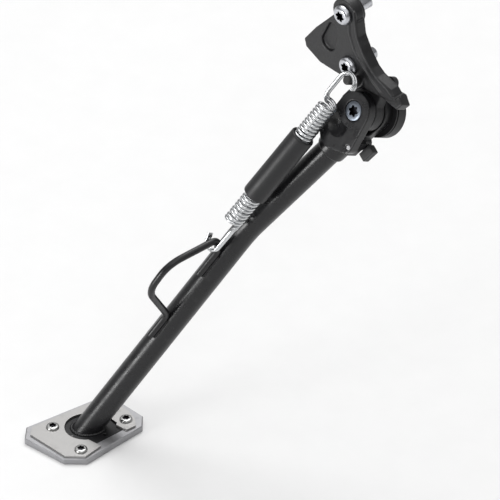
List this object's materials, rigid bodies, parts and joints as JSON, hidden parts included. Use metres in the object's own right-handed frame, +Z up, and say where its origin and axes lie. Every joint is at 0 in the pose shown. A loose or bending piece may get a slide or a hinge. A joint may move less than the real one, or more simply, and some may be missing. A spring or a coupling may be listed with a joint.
{
  "type": "motorcycle side stand",
  "caption": "Side stand of a motorcycle: cast frame bracket, swinging tube leg with clevis head, boot lever, twin return springs in a sleeve, stand switch and a wide clamped-on foot.",
  "frame": {"origin": "midway between the two bracket screws, on the bracket's mounting face", "axes": "+X to the rear of the machine, +Y inboard into the frame, +Z up; the leg is down with its foot flat on level ground"},
  "size_m": [0.2394, 0.2474, 0.4234],
  "materials": {
    "bracket_casting_black": "satin black powder coat on a casting",
    "zinc_screws": "bright zinc plate",
    "dark_pin_steel": "phosphated",
    "bronze": "plain",
    "washer_steel": "ground",
    "switch_plastic": "glass-filled nylon",
    "contact_board": "plain",
    "seal_rubber": "plain",
    "leg_black": "satin black",
    "bolt_zinc": "zinc plate",
    "rotor_plastic": "plain",
    "buffer_rubber": "plain",
    "foot_black": "worn black",
    "anodised_aluminium": "satin natural anodised",
    "stainless": "brushed",
    "stainless_screws": "turned",
    "spring_zinc": "bright zinc plate",
    "sleeve_rubber": "semi-matt"
  },
  "bodies": {
    "bracket": {"bracket_casting": "bracket_casting_black", "bracket_screws": "zinc_screws", "spring_pin": "dark_pin_steel", "pivot_bush": "bronze", "outer_thrust_washer": "washer_steel", "inner_thrust_washer": "washer_steel", "switch_housing": "switch_plastic", "switch_contact_board": "contact_board", "switch_peg": "washer_steel", "switch_grommet": "seal_rubber", "switch_seal": "seal_rubber"},
    "leg": {"fork_head": "leg_black", "pivot_bolt": "bolt_zinc", "pivot_lock_nut": "zinc_screws", "switch_rotor": "rotor_plastic", "switch_drive_pin": "washer_steel", "switch_screw": "zinc_screws", "leg_tube": "leg_black", "lever_rod": "leg_black", "stop_pin": "washer_steel", "buffer_tab": "buffer_rubber", "forged_foot": "foot_black", "foot_base_plate": "anodised_aluminium", "foot_clamp_plate": "stainless", "foot_screws": "stainless_screws"},
    "spring_lower_half": {"first_spring_lower": "spring_zinc", "second_spring_lower": "spring_zinc"},
    "spring_upper_half": {"first_spring_upper": "spring_zinc", "second_spring_upper": "spring_zinc", "spring_sleeve": "sleeve_rubber"}
  },
  "joints": [
    {"name": "leg_pivot", "type": "hinge", "parent": "bracket", "child": "leg", "pos_m": [0.02, -0.025, -0.053], "axis": [0, -0.891, 0.454], "range_deg": [0, 110]},
    {"name": "spring_on_pin", "type": "hinge", "parent": "bracket", "child": "spring_upper_half", "pos_m": [0.0141, -0.02315, -0.0269], "axis": [0, -0.891, 0.454], "range_deg": [0, 98.1], "deforming": ["first_spring_upper", "second_spring_upper"]},
    {"name": "spring_on_lever", "type": "hinge", "parent": "leg", "child": "spring_lower_half", "pos_m": [-0.0621, -0.1045, -0.18656], "axis": [0, -0.891, 0.454], "range_deg": [-12, 0], "deforming": ["first_spring_lower", "second_spring_lower"]}
  ],
  "couplings": [
    {"joint": "spring_on_pin", "follows": "leg_pivot", "ratio": 0.8913},
    {"joint": "spring_on_lever", "follows": "leg_pivot", "ratio": -0.1087}
  ]
}
